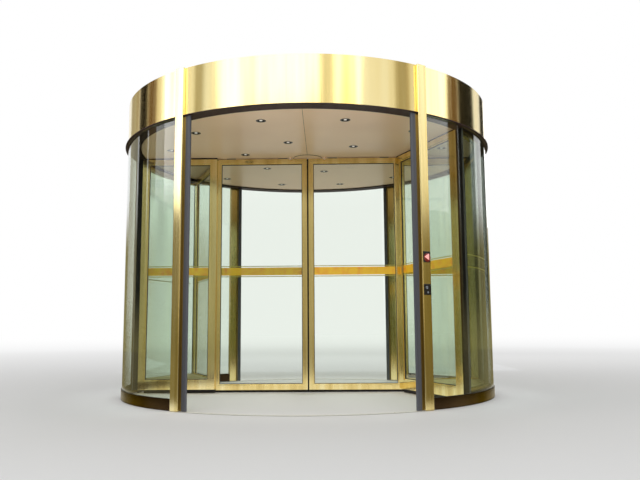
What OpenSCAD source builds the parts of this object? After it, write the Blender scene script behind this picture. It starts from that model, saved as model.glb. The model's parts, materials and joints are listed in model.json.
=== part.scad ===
// Two-wing revolving door: a round drum with curved glass walls and a deep fascia,
// and an S-shaped rotor with a pair of sliding leaves between two glazed display bays.
// Origin on the floor at the drum's axis, +Z up, entrances facing -Y and +Y.

/* [Drum] */
// Outer radius of the fascia
drum_r = 1800; // [1780:10:2100]
// Height from the floor to the soffit
clear_h = 2385; // [2200:5:2800]
// Height of the fascia above the soffit ring
fascia_h = 410; // [340:10:600]
// Thickness of the fascia casing
fascia_t = 20; // [12:1:30]
// Width of the stiffening flange at the fascia's upper edge
flange_w = 25; // [15:1:40]
// Set-back of the wall glass from the fascia's face
wall_inset = 2; // [0:1:6]
// Thickness of the curved wall glass
wall_glass_t = 12; // [8:1:16]
// Height of the skirt under the wall glass
skirt_h = 92; // [50:1:160]
// How far the skirt stands out from the wall glass
skirt_lap = 8; // [3:1:20]
// How far the posts, mullions and skirts stand inside the wall glass
wall_back = 6; // [2:1:6]
// Width of the fixed soffit ring inside the fascia casing
soffit_w = 96; // [70:1:120]
// Thickness of the soffit ring
soffit_t = 5; // [4:1:10]
// How far the rim of the soffit ring stands out past the fascia
soffit_lip = 26; // [10:1:28]
// Depth of the roof below the fascia's upper edge
roof_drop = 30; // [10:1:60]
// Thickness of the roof
roof_t = 20; // [8:1:30]

/* [Posts] */
// Angle of each entrance post from the entrance's centre line
post_a = 33.3; // [31:0.1:36]
// Width of an entrance post's outer face
post_w = 88; // [80:1:130]
// How far an entrance post stands out from the fascia
post_proud = 30; // [28:1:40]
// Width of the rubber safety edge beside a post
edge_w = 62; // [30:1:70]
// Depth of the rubber safety edge
edge_d = 24; // [20:1:40]
// Width of the wall mullion on the building line
mullion_w = 40; // [30:1:80]
// Thickness of the threshold strip
threshold_t = 4; // [2:1:8]
// Width of the threshold strip
threshold_w = 46; // [30:1:60]

/* [Switch plates] */
// Width of a switch plate
plate_w = 70; // [50:1:80]
// Height of a switch plate
plate_h = 88; // [60:1:120]
// Thickness of a switch plate
plate_t = 6; // [3:1:12]
// Height of the upper plate's centre
upper_plate_z = 1202; // [1100:1:1600]
// Height of the lower plate's centre
lower_plate_z = 942; // [700:1:960]

/* [Rotor] */
// Gap between the wing tips and the wall glass
tip_gap = 12; // [12:1:20]
// Gap round the turning ceiling
ceiling_gap = 8; // [5:1:12]
// Height of the ceiling above the soffit
ceiling_rise = 10; // [6:1:12]
// Gap between the wing frames and the soffit
frame_clear = 5; // [5:1:10]
// Thickness of the ceiling
ceiling_t = 20; // [12:1:30]
// Radius of the round plate at the ceiling's centre
hub_plate_r = 147; // [100:1:180]
// Thickness of the round plate
hub_plate_t = 3; // [2:1:4]
// Depth of the rubber seals and brushes at the wing tips
tip_seal_d = 65; // [50:1:80]
// Depth of the brush in a wing-tip seal
tip_brush_d = 14; // [8:1:20]
// Thickness of the rubber seals at the wing tips
tip_seal_t = 20; // [14:1:30]
// Height of the wing frames above the floor
frame_lift = 40; // [25:1:60]
// Gap between the brushes and the floor
brush_gap = 6; // [5:1:12]
// Thickness of the brushes
brush_t = 12; // [6:1:20]

/* [Wings] */
// Half the clear width between the wings' jambs
door_half = 935; // [860:5:960]
// Half the width of the lane that the sliding leaf runs in
lane_half = 30; // [28:1:40]
// Thickness of the straight side panels
side_t = 35; // [30:1:50]
// Thickness of the slanted display panels
slant_t = 45; // [30:1:60]
// Angle of the slanted panel's outer end from the wing's line
slant_a = 37.2; // [33:0.1:42]
// Distance of the slanted panel's inner end from the axis
slant_x = 934; // [900:1:990]
// Width of the jamb stiles
jamb_w = 60; // [45:1:80]
// Width of the straight panels' corner stiles
corner_w = 62; // [50:1:100]
// Width of the slanted panels' corner stiles
slant_corner_w = 98; // [60:1:120]
// Height of the wing frames' upper rails
wing_top_h = 49; // [40:1:90]
// Height of the wing frames' lower rails
wing_bottom_h = 88; // [60:1:140]
// Width of the head strips that fix the wing frames to the ceiling
head_strip_w = 18; // [10:1:24]
// Radial depth of the curved rails
curved_rail_d = 47; // [38:1:50]
// Gap between the curved display glass and the tip circle
display_inset = 20; // [14:1:28]
// Thickness of the panes in the wings and leaves
pane_t = 10; // [6:1:12]
// Width of the glazing beads
bead_w = 12; // [6:1:20]
// Thickness of the glazing beads across the frame
bead_t = 24; // [16:1:28]
// Thickness of the display floor
display_floor_t = 20; // [10:1:30]

/* [Leaves] */
// Thickness of the leaves
leaf_t = 40; // [32:1:44]
// Lap of a closed leaf past its jamb
leaf_lap = 10; // [5:1:20]
// Gap between the two leaves' lapped seals
leaf_gap = 6; // [5:1:8]
// How far each meeting seal laps past the middle when closed
seal_lap = 1; // [1:1:6]
// Thickness of the meeting seals
meeting_seal_t = 7; // [4:1:8]
// Width of the leaf stiles
leaf_stile_w = 40; // [36:1:80]
// Height of the leaves' upper rails
leaf_top_h = 43; // [35:1:80]
// Height of the leaves' lower rails
leaf_bottom_h = 47; // [45:1:120]
// Height of the leaves above the floor
leaf_lift = 30; // [20:1:50]
// Gap between the leaves and the ceiling
leaf_head_gap = 9; // [9:1:20]
// Space left between an open leaf's outer end and the tip seals
leaf_stop = 64; // [40:1:160]

/* [Track] */
// Width of the track beam
track_w = 110; // [96:1:140]
// Height of the track beam
track_h = 80; // [70:1:110]
// Wall of the track beam
track_wall = 6; // [4:1:8]
// Width of the slot that the hangers pass through
slot_w = 34; // [26:1:36]
// Width of a hanger's blade, along the track
blade_w = 90; // [60:1:100]
// Thickness of a hanger's blade
blade_t = 12; // [8:1:14]
// Radius of the hanger rollers
roller_r = 20; // [15:1:24]
// Width of the hanger rollers
roller_w = 15; // [10:1:16]
// Distance of the inner hanger from the axis
inner_hanger_x = 260; // [240:5:320]
// Distance of the outer hanger from the leaf's outer end
outer_hanger_x = 150; // [140:5:220]

/* [Canopy] */
// Radius of the rotor's spindle
spindle_r = 45; // [30:1:60]
// Radius of the spindle's collar
collar_r = 80; // [70:1:100]
// Thickness of the spindle's collar
collar_t = 20; // [10:1:30]
// Radius of the bearing housing
housing_r = 120; // [90:1:150]
// Height of the bearing housing
housing_h = 70; // [40:1:80]
// Height of the canopy beams
beam_h = 120; // [80:1:140]
// Width of the canopy beams
beam_w = 80; // [50:1:100]
// Distance of each canopy beam from the axis
beam_y = 260; // [220:5:320]
// Thickness of the bearing plate
bearing_plate_t = 20; // [10:1:30]
// Width of the bearing plate, across the beams' ends
bearing_plate_w = 360; // [300:10:500]

/* [Downlights] */
// Radius of the ring of outer downlights
outer_light_r = 1385; // [1250:5:1450]
// Radius of the ring of inner downlights
inner_light_r = 650; // [500:5:800]
// Angle of the first downlight
light_a = -104.4; // [-110:0.1:-100]
// Radius of a downlight's can
can_r = 36; // [25:1:45]
// Height of a downlight's can
can_h = 34; // [26:1:60]
// Wall of a downlight's can
can_wall = 3; // [2:1:5]
// Width of a downlight's trim outside its can
trim_w = 7; // [4:1:12]
// Thickness of a downlight's trim
trim_t = 2; // [1:1:4]

/* [Door sensors] */
// Distance of each sensor from the axis, along the leaves
sensor_x = 176; // [165:1:220]
// Distance of each sensor in front of the leaves' middle
sensor_y = 48; // [42:1:80]
// Radius of a sensor
sensor_r = 13; // [8:1:16]
// Length of a sensor's stem
sensor_h = 16; // [8:1:30]

/* [Hidden] */

$fn = 96;
gold = [0.78, 0.62, 0.26];
dark_bronze = [0.26, 0.17, 0.12];
rubber = [0.27, 0.27, 0.30];
glass = [0.66, 0.80, 0.76, 0.35];
ceiling_beige = [0.72, 0.62, 0.52];
steel = [0.62, 0.63, 0.65];
sheet_grey = [0.45, 0.45, 0.44];
black = [0.06, 0.06, 0.07];

// Overshoot of a cutter past the face that it cuts
past = 1;
// Running clearance of the spindle and the rollers
running = 0.3;
// Hairline gap where slanted or curved faces meet, and the same at the fascia's joints
seat = 0.2;
seat_a = atan(seat / drum_r);
// Reach of the wedges that cut sectors
far = 3 * drum_r;

fascia_z = clear_h + soffit_t + seat;
top_z = fascia_z + fascia_h;
fascia_in_r = drum_r - fascia_t;
wall_r = drum_r - wall_inset;
wall_in_r = wall_r - wall_glass_t;
tip_r = wall_in_r - tip_gap;
post_in_r = wall_in_r - wall_back;
skirt_r = wall_r + skirt_lap;
post_out_r = drum_r + post_proud;
soffit_in_r = fascia_in_r - soffit_w;
roof_z = top_z - roof_drop - roof_t;

ceiling_r = soffit_in_r - ceiling_gap;
ceiling_z = clear_h + ceiling_rise;
ceiling_top = ceiling_z + ceiling_t;

frame_r = tip_r - tip_seal_d;
frame_h = clear_h - frame_clear - seat - frame_lift;
frame_top = frame_lift + frame_h + past;
display_r = tip_r - display_inset;
display_in_r = display_r - curved_rail_d;

// The slanted panel's middle line runs from its inner end to a point on the frame circle
slant_start = [slant_x, -lane_half - slant_t / 5];
slant_end = [frame_r * cos(slant_a), -frame_r * sin(slant_a)];
slant_v = slant_end - slant_start;
slant_l = norm(slant_v);
slant_dir = atan2(slant_v[1], slant_v[0]);
// Spare length at both ends, cut back by the lane and by the frame circle
slant_spare = 60;

leaf_x0 = seal_lap + leaf_gap;
leaf_x1 = door_half + leaf_lap;
leaf_l = leaf_x1 - leaf_x0;
leaf_travel = frame_r - leaf_x1 - leaf_stop;
leaf_top = ceiling_z - leaf_head_gap;
leaf_h = leaf_top - leaf_lift;

lip_top = ceiling_top + track_wall;
axle_z = lip_top + roller_r + running;
track_top = ceiling_top + track_h;
hanger_xs = [inner_hanger_x, leaf_x1 - outer_hanger_x];
slot_clear = 10;
slot_x0 = hanger_xs[0] - blade_w / 2 - slot_clear;
slot_x1 = hanger_xs[1] + leaf_travel + blade_w / 2 + slot_clear;
track_end = slot_x1 + 40;
cross_end = ceiling_r - 60;

beam_z = roof_z - beam_h;
plate_top = beam_z;

module sector(r_in, r_out, z0, h, a0, a1) {
    rotate([0, 0, a0])
        rotate_extrude(angle = a1 - a0, $fn = 180)
            translate([r_in, z0])
                square([r_out - r_in, h]);
}

// Turns a shape drawn on the +X axis to an angle from the front entrance's centre line
module at_front(a) {
    rotate([0, 0, a - 90]) children();
}

module half_turn() {
    rotate([0, 0, 180]) children();
}

// Frame of four bars with a bead round the pane, standing in the XZ plane
module sash(l, h, t, start_w, end_w, top_h, bottom_h) {
    open_l = l - start_w - end_w;
    open_h = h - top_h - bottom_h;
    difference() {
        translate([0, -t / 2, 0]) cube([l, t, h]);
        translate([start_w, -t / 2 - past, bottom_h]) cube([open_l, t + 2 * past, open_h]);
    }
    difference() {
        translate([start_w - past, -bead_t / 2, bottom_h - past])
            cube([open_l + 2 * past, bead_t, open_h + 2 * past]);
        translate([start_w + bead_w, -bead_t / 2 - past, bottom_h + bead_w])
            cube([open_l - 2 * bead_w, bead_t + 2 * past, open_h - 2 * bead_w]);
    }
}

// Pane that fills the sash of the same sizes
module pane(l, h, start_w, end_w, top_h, bottom_h) {
    translate([start_w + bead_w, -pane_t / 2, bottom_h + bead_w])
        cube([l - start_w - end_w - 2 * bead_w, pane_t, h - top_h - bottom_h - 2 * bead_w]);
}

// Entrance post drawn on the +X axis: a box section up to the fascia,
// then a cover plate that runs up over the fascia
module post() {
    color(gold)
        difference() {
            translate([post_in_r, -post_w / 2, 0])
                cube([post_out_r - post_in_r, post_w, top_z]);
            translate([0, 0, fascia_z])
                cylinder(r = drum_r, h = fascia_h + past, $fn = 180);
        }
}

// Space taken by a post below the fascia, from a distance x0 off the axis outwards
module post_gap(x0 = 0) {
    translate([x0, -post_w / 2, -past])
        cube([post_out_r + past - x0, post_w, fascia_z + past]);
}

module mullion() {
    color(dark_bronze)
        translate([post_in_r, -mullion_w / 2, 0])
            cube([skirt_r - post_in_r, mullion_w, clear_h]);
}

module mullion_gap() {
    translate([0, -mullion_w / 2, -past])
        cube([skirt_r + past, mullion_w, clear_h + 2 * past]);
}

// Rubber edge on the entrance side of the right-hand front post, with a round nose
module safety_edge() {
    nose_r = edge_d / 2;
    color(rubber)
        at_front(post_a)
            translate([post_in_r + nose_r, -post_w / 2, threshold_t])
                linear_extrude(clear_h - threshold_t) {
                    translate([-nose_r, -edge_w + nose_r]) square([edge_d, edge_w - nose_r]);
                    translate([0, -edge_w + nose_r]) circle(r = nose_r);
                }
}

// One quarter of the wall on the right-hand front side, between post and mullion
module wall_quarter(r_in, r_out, z0, h) {
    difference() {
        sector(r_in, r_out, z0, h, post_a - 90, 0);
        at_front(post_a) post_gap();
        mullion_gap();
    }
}

// The right-hand wall is the front quarter and its mirror image behind
module right_wall(r_in, r_out, z0, h) {
    wall_quarter(r_in, r_out, z0, h);
    mirror([0, 1, 0]) wall_quarter(r_in, r_out, z0, h);
}

// Fascia casing with a flange turned in at its upper edge
module fascia(a0, a1) {
    color(gold) {
        sector(fascia_in_r, drum_r, fascia_z, fascia_h, a0, a1);
        sector(fascia_in_r - flange_w, fascia_in_r + past, top_z - fascia_t, fascia_t, a0, a1);
    }
}

module front_left_post() { mirror([1, 0, 0]) at_front(post_a) post(); }
module front_right_post() { at_front(post_a) post(); }
module back_left_post() { half_turn() front_right_post(); }
module back_right_post() { half_turn() front_left_post(); }

module safety_edges() {
    for (side = [0, 1], turn = [0, 180])
        rotate([0, 0, turn])
            mirror([side, 0, 0])
                safety_edge();
}

module right_mullion() { mullion(); }
module left_mullion() { half_turn() mullion(); }

module skirts() {
    color(dark_bronze)
        for (turn = [0, 180])
            rotate([0, 0, turn])
                right_wall(post_in_r, skirt_r, 0, skirt_h);
}

module right_wall_glass() {
    color(glass) right_wall(wall_in_r, wall_r, skirt_h, clear_h - skirt_h - seat);
}
module left_wall_glass() { half_turn() right_wall_glass(); }

module front_fascia() { fascia(-90 - post_a + seat_a, -90 + post_a - seat_a); }
module back_fascia() { half_turn() front_fascia(); }
module right_fascia() { fascia(-90 + post_a, 90 - post_a); }
module left_fascia() { half_turn() right_fascia(); }

// Flat ring that carries the fascia, with its rim standing out between the posts
module soffit_ring() {
    color(dark_bronze)
        difference() {
            translate([0, 0, clear_h]) cylinder(r = drum_r + soffit_lip, h = soffit_t, $fn = 180);
            translate([0, 0, clear_h - past])
                cylinder(r = soffit_in_r, h = soffit_t + 2 * past, $fn = 180);
            for (a = [-post_a, post_a, 180 - post_a, 180 + post_a])
                at_front(a) post_gap(post_in_r);
        }
}

module roof() {
    color(sheet_grey)
        translate([0, 0, roof_z]) cylinder(r = fascia_in_r - seat, h = roof_t, $fn = 180);
}

// Two box beams across the canopy, with their ends against the fascia casing
module canopy_beams() {
    color(steel)
        intersection() {
            for (side = [-1, 1])
                translate([-drum_r, side * beam_y - beam_w / 2, beam_z])
                    cube([2 * drum_r, beam_w, beam_h]);
            translate([0, 0, beam_z - past])
                cylinder(r = fascia_in_r - seat, h = beam_h + 2 * past, $fn = 180);
        }
}

// Plate under the beams with the housing that carries the spindle
module bearing() {
    plate_y = beam_y + beam_w / 2;
    color(steel)
        difference() {
            union() {
                translate([-bearing_plate_w / 2, -plate_y, plate_top - bearing_plate_t])
                    cube([bearing_plate_w, 2 * plate_y, bearing_plate_t]);
                translate([0, 0, plate_top - bearing_plate_t - housing_h])
                    cylinder(r = housing_r, h = housing_h + bearing_plate_t);
            }
            translate([0, 0, plate_top - bearing_plate_t - housing_h - past])
                cylinder(r = spindle_r + running, h = housing_h + bearing_plate_t + 2 * past);
        }
}

// Flat strips on the floor across the two entrances
module thresholds() {
    color(steel)
        for (turn = [0, 180])
            rotate([0, 0, turn])
                difference() {
                    sector(post_in_r, post_in_r + threshold_w, 0, threshold_t,
                        -90 - post_a, -90 + post_a);
                    at_front(post_a) post_gap();
                    at_front(-post_a) post_gap();
                }
}

module switch_plates() {
    color(black)
        for (z = [upper_plate_z, lower_plate_z])
            at_front(post_a)
                translate([post_out_r, -plate_w / 2, z - plate_h / 2])
                    cube([plate_t, plate_w, plate_h]);
}

module at_downlights() {
    for (k = [0 : 11])
        rotate([0, 0, light_a + 30 * k]) translate([outer_light_r, 0, 0]) children();
    for (k = [0 : 5])
        rotate([0, 0, light_a + 60 * k]) translate([inner_light_r, 0, 0]) children();
}

// Turning ceiling with its two hanger slots and the holes for the downlights
module ceiling() {
    color(ceiling_beige)
        difference() {
            translate([0, 0, ceiling_z]) cylinder(r = ceiling_r, h = ceiling_t, $fn = 180);
            for (turn = [0, 180])
                rotate([0, 0, turn])
                    translate([slot_x0, -slot_w / 2, ceiling_z - past])
                        cube([slot_x1 - slot_x0, slot_w, ceiling_t + 2 * past]);
            at_downlights()
                translate([0, 0, ceiling_z - past])
                    cylinder(r = can_r, h = ceiling_t + 2 * past, $fn = 48);
        }
}

module hub_plate() {
    color(ceiling_beige)
        translate([0, 0, ceiling_z - hub_plate_t]) cylinder(r = hub_plate_r, h = hub_plate_t);
}

// Each downlight is a can, closed above, with a flat trim ring under the ceiling
module downlights() {
    color(steel)
        at_downlights()
            difference() {
                union() {
                    translate([0, 0, ceiling_z - trim_t]) cylinder(r = can_r, h = can_h, $fn = 48);
                    translate([0, 0, ceiling_z - trim_t])
                        cylinder(r = can_r + trim_w, h = trim_t, $fn = 48);
                }
                translate([0, 0, ceiling_z - trim_t - past])
                    cylinder(r = can_r - can_wall, h = can_h - can_wall + past, $fn = 48);
            }
}

module door_sensors() {
    color(ceiling_beige)
        for (turn = [0, 180], x = [-sensor_x, sensor_x])
            rotate([0, 0, turn])
                translate([x, -sensor_y, ceiling_z - sensor_h]) {
                    cylinder(r = sensor_r, h = sensor_h, $fn = 32);
                    sphere(r = sensor_r, $fn = 32);
                }
}

// Spindle that stands on the track beam and hangs from the bearing by its collar
module spindle() {
    collar_z = plate_top + running;
    color(steel) {
        translate([0, 0, track_top]) cylinder(r = spindle_r, h = collar_z + collar_t - track_top);
        translate([0, 0, collar_z]) cylinder(r = collar_r, h = collar_t);
    }
}

// Track channel along the leaves, with a beam across it that carries the ceiling
module track_beam() {
    half_w = track_w / 2;
    color(steel) {
        rotate([90, 0, 90])
            translate([0, 0, -track_end])
                linear_extrude(2 * track_end)
                    polygon([
                        [-slot_w / 2, ceiling_top], [-half_w, ceiling_top],
                        [-half_w, track_top], [half_w, track_top],
                        [half_w, ceiling_top], [slot_w / 2, ceiling_top],
                        [slot_w / 2, lip_top], [half_w - track_wall, lip_top],
                        [half_w - track_wall, track_top - track_wall],
                        [-half_w + track_wall, track_top - track_wall],
                        [-half_w + track_wall, lip_top], [-slot_w / 2, lip_top]
                    ]);
        for (turn = [0, 180])
            rotate([0, 0, turn])
                translate([-beam_w / 2, half_w - past, ceiling_top])
                    cube([beam_w, cross_end - half_w + past, track_h]);
    }
}

// Straight side panel behind the right-hand leaf
module place_side() {
    translate([door_half, lane_half + side_t / 2, frame_lift]) children();
}
side_l = frame_r - door_half;

module right_side_panel() {
    color(gold)
        intersection() {
            place_side() sash(side_l, frame_h, side_t, jamb_w, corner_w, wing_top_h, wing_bottom_h);
            cylinder(r = frame_r, h = frame_top, $fn = 180);
        }
}
module left_side_panel() { half_turn() right_side_panel(); }

// Slanted display panel, cut off by the leaf's lane and by the frame circle
module place_slant() {
    translate([slant_start[0], slant_start[1], frame_lift])
        rotate([0, 0, slant_dir])
            translate([-slant_spare, 0, 0])
                children();
}
slant_box_l = slant_l + 2 * slant_spare;

module outside_lane() {
    translate([0, -far - lane_half, 0]) cube([far, far, frame_top]);
}

module right_display_panel() {
    color(gold)
        intersection() {
            place_slant()
                sash(slant_box_l, frame_h, slant_t, jamb_w + slant_spare,
                    slant_corner_w + slant_spare, wing_top_h, wing_bottom_h);
            cylinder(r = frame_r, h = frame_top, $fn = 180);
            outside_lane();
        }
}
module left_display_panel() { half_turn() right_display_panel(); }

// Space taken by the slanted panel and its tip seal, cleared for the curved pieces
module slant_gap() {
    place_slant()
        translate([-far, -far, -frame_lift])
            cube([2 * far, far + slant_t / 2, frame_top]);
}

// Curved band of the display bay, from the side panel round to the slanted panel
module display_band(r_in, r_out, z0, h) {
    difference() {
        sector(r_in, r_out, z0, h, -slant_a - 8, 8);
        slant_gap();
        translate([0, lane_half, -past]) cube([far, far, frame_top + 2 * past]);
    }
}

module right_display_rails() {
    color(gold) {
        display_band(display_in_r, display_r, frame_lift, wing_bottom_h);
        display_band(display_in_r, display_r, frame_lift + frame_h - wing_top_h, wing_top_h);
    }
}
module left_display_rails() { half_turn() right_display_rails(); }

module right_wing_glass() {
    color(glass) {
        place_side() pane(side_l, frame_h, jamb_w, corner_w, wing_top_h, wing_bottom_h);
        place_slant()
            pane(slant_box_l, frame_h, jamb_w + slant_spare, slant_corner_w + slant_spare,
                wing_top_h, wing_bottom_h);
        display_band(display_r - pane_t, display_r, frame_lift + wing_bottom_h,
            frame_h - wing_bottom_h - wing_top_h);
    }
}
module left_wing_glass() { half_turn() right_wing_glass(); }

// Floor of each display bay, level with the top of the lower rails
module display_floors() {
    color(gold)
        for (turn = [0, 180])
            rotate([0, 0, turn])
                difference() {
                    translate([0, 0, frame_lift + wing_bottom_h - display_floor_t])
                        cylinder(r = display_in_r - seat, h = display_floor_t, $fn = 180);
                    translate([-far, -lane_half, 0]) cube([2 * far, far, clear_h]);
                    slant_gap();
                }
}

// Strips of one thickness at both tips of the right-hand wing, between two radii
module tip_strips(r_in, r_out, t) {
    intersection() {
        union() {
            place_side() translate([0, -t / 2, 0]) cube([far, t, frame_h]);
            place_slant()
                translate([0, (slant_t - tip_seal_t - t) / 2, 0]) cube([far, t, frame_h]);
        }
        difference() {
            cylinder(r = r_out, h = frame_top, $fn = 180);
            translate([0, 0, -past]) cylinder(r = r_in, h = frame_top + 2 * past, $fn = 180);
        }
    }
}

// Strips between the flat panels of the right-hand wing and the ceiling, outside the leaf's lane
module head_strips() {
    strip_z = frame_h + seat;
    strip_h = ceiling_z - seat - frame_lift - strip_z;
    difference() {
        intersection() {
            union() {
                place_side()
                    translate([0, -head_strip_w / 2, strip_z])
                        cube([side_l, head_strip_w, strip_h]);
                place_slant()
                    translate([0, -head_strip_w / 2, strip_z])
                        cube([slant_box_l, head_strip_w, strip_h]);
            }
            cylinder(r = soffit_in_r - 2 * ceiling_gap, h = ceiling_z, $fn = 180);
        }
        translate([0, -lane_half, 0]) cube([far, 2 * lane_half, ceiling_z]);
    }
}

module right_wing_seals() {
    seal_y = lane_half + side_t / 2;
    brush_h = frame_lift - brush_gap;
    color(rubber) {
        tip_strips(frame_r + seat, tip_r - tip_brush_d, tip_seal_t);
        tip_strips(tip_r - tip_brush_d - past, tip_r, brush_t);
        head_strips();
        translate([door_half, seal_y - brush_t / 2, brush_gap])
            cube([side_l - corner_w, brush_t, brush_h]);
        place_slant()
            translate([slant_spare + jamb_w / 2, -brush_t / 2, brush_gap - frame_lift])
                cube([slant_l - jamb_w / 2 - slant_corner_w, brush_t, brush_h]);
        difference() {
            sector(display_in_r + brush_t, display_in_r + 2 * brush_t, brush_gap, brush_h,
                -slant_a, 0);
            slant_gap();
        }
    }
}
module left_wing_seals() { half_turn() right_wing_seals(); }

// Sliding leaf, closed against its partner at the axis
module place_leaf() {
    translate([leaf_x0, 0, leaf_lift]) children();
}

module right_leaf() {
    color(gold)
        place_leaf()
            sash(leaf_l, leaf_h, leaf_t, leaf_stile_w, leaf_stile_w, leaf_top_h, leaf_bottom_h);
}
module left_leaf() { half_turn() right_leaf(); }

module right_leaf_glass() {
    color(glass)
        place_leaf() pane(leaf_l, leaf_h, leaf_stile_w, leaf_stile_w, leaf_top_h, leaf_bottom_h);
}
module left_leaf_glass() { half_turn() right_leaf_glass(); }

// Two hangers a leaf, each a blade with a pair of rollers that run on the track's lips
module right_leaf_hangers() {
    axle_l = track_w - 2 * track_wall - 12;
    color(steel)
        for (x = hanger_xs)
            translate([x, 0, 0]) {
                translate([-blade_w / 2, -blade_t / 2, leaf_top])
                    cube([blade_w, blade_t, axle_z + blade_t - leaf_top]);
                for (dx = [-1, 1])
                    translate([dx * (blade_w / 2 - roller_r), 0, axle_z])
                        rotate([90, 0, 0]) {
                            cylinder(r = 6, h = axle_l, center = true, $fn = 32);
                            for (side = [-1, 1])
                                translate([0, 0, side * (slot_w / 2 + 2 + roller_w / 2)])
                                    cylinder(r = roller_r, h = roller_w, center = true, $fn = 48);
                        }
            }
}
module left_leaf_hangers() { half_turn() right_leaf_hangers(); }

// Meeting seal that laps in front of the other leaf's seal, and the brush underneath
module right_leaf_seals() {
    color(rubber) {
        translate([-seal_lap, -leaf_gap / 2 - meeting_seal_t, brush_gap])
            cube([leaf_x0 + seal_lap, meeting_seal_t, leaf_top - brush_gap]);
        translate([leaf_x0, -brush_t / 2, brush_gap])
            cube([leaf_l, brush_t, leaf_lift - brush_gap]);
    }
}
module left_leaf_seals() { half_turn() right_leaf_seals(); }

front_left_post();
front_right_post();
back_left_post();
back_right_post();
safety_edges();
left_mullion();
right_mullion();
skirts();
left_wall_glass();
right_wall_glass();
front_fascia();
back_fascia();
left_fascia();
right_fascia();
soffit_ring();
roof();
canopy_beams();
bearing();
thresholds();
switch_plates();
ceiling();
hub_plate();
downlights();
door_sensors();
spindle();
track_beam();
left_side_panel();
right_side_panel();
left_display_panel();
right_display_panel();
left_display_rails();
right_display_rails();
left_wing_glass();
right_wing_glass();
display_floors();
left_wing_seals();
right_wing_seals();
left_leaf();
right_leaf();
left_leaf_glass();
right_leaf_glass();
left_leaf_hangers();
right_leaf_hangers();
left_leaf_seals();
right_leaf_seals();
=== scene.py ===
# A two-wing revolving door for a hotel entrance: a drum with curved glass walls and a deep gold
# fascia, and a turning rotor with sliding leaves and glazed display bays.
import json
from math import cos, hypot, pi, radians, sin

import bpy
from mathutils import Matrix, Vector


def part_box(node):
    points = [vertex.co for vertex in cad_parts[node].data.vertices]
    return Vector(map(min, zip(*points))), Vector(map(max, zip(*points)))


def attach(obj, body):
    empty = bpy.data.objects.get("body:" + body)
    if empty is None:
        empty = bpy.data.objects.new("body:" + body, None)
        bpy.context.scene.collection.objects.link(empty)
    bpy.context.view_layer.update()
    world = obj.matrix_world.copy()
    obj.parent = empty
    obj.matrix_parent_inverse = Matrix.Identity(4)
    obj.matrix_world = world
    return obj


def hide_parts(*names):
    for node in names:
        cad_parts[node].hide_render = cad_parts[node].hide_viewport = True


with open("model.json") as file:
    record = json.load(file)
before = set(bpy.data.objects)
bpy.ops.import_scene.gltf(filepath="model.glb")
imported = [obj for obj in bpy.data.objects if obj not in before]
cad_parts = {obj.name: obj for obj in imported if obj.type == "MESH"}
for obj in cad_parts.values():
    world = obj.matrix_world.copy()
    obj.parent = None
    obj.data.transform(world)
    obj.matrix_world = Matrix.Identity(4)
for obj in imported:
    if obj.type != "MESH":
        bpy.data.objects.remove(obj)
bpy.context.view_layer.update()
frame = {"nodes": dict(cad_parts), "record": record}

# Camera, low in front of the entrance and a little to the right, looking slightly up.
# It is level but for a small roll, and its lens gives the frame 49.6 degrees across.
camera_turn, camera_rise, camera_roll = radians(1.19), radians(7.099), radians(0.386)
camera_data = bpy.data.cameras.new("camera")
camera_data.sensor_width = 36.0
camera_data.lens = 38.94
camera_data.clip_end = 400.0
camera = bpy.data.objects.new("camera", camera_data)
camera.location = (0.26956, -7.04556, 0.65803)
camera.rotation_euler = (
    Matrix.Rotation(camera_turn, 4, "Z")
    @ Matrix.Rotation(pi / 2 + camera_rise, 4, "X")
    @ Matrix.Rotation(-camera_roll, 4, "Z")
).to_euler()
bpy.context.scene.collection.objects.link(camera)
bpy.context.scene.camera = camera
bpy.context.scene.view_settings.view_transform = "Standard"


# Studio: a pale floor that fades out to a white surround, an even sky and soft lamps. What the
# camera, the metal and the glass see of the surround is plain white.

# A Math or Vector Math node, with each input linked to a socket or set to a plain value
def calculate(tree, kind, operation, *values):
    node = tree.nodes.new("ShaderNode" + kind)
    node.operation = operation
    for socket, value in zip(node.inputs, values):
        if isinstance(value, bpy.types.NodeSocket):
            tree.links.new(value, socket)
        else:
            socket.default_value = value
    return node.outputs


def fade_between(tree, value, none, full):
    node = tree.nodes.new("ShaderNodeMapRange")
    node.interpolation_type = "SMOOTHSTEP"
    node.inputs["From Min"].default_value = none
    node.inputs["From Max"].default_value = full
    tree.links.new(value, node.inputs["Value"])
    return node.outputs["Result"]


def mix_shaders(tree, share, first, second):
    mix = tree.nodes.new("ShaderNodeMixShader")
    tree.links.new(share, mix.inputs["Fac"])
    tree.links.new(first.outputs[0], mix.inputs[1])
    tree.links.new(second.outputs[0], mix.inputs[2])
    return mix.outputs[0]


world = bpy.data.worlds.new("white_surround")
bpy.context.scene.world = world
world.use_nodes = True
tree = world.node_tree
tree.nodes.clear()
sky_seen = tree.nodes.new("ShaderNodeBackground")
sky_seen.inputs["Color"].default_value = (1, 1, 1, 1)
sky_lit = tree.nodes.new("ShaderNodeBackground")
sky_lit.inputs["Color"].default_value = (0.93, 0.96, 1.0, 1)
sky_lit.inputs["Strength"].default_value = 0.62
ray = tree.nodes.new("ShaderNodeLightPath").outputs
seen = calculate(tree, "Math", "MAXIMUM", ray["Is Camera Ray"], ray["Is Glossy Ray"])["Value"]
seen = calculate(tree, "Math", "MAXIMUM", seen, ray["Is Transmission Ray"])["Value"]
out = tree.nodes.new("ShaderNodeOutputWorld")
tree.links.new(mix_shaders(tree, seen, sky_lit, sky_seen), out.inputs["Surface"])

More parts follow.
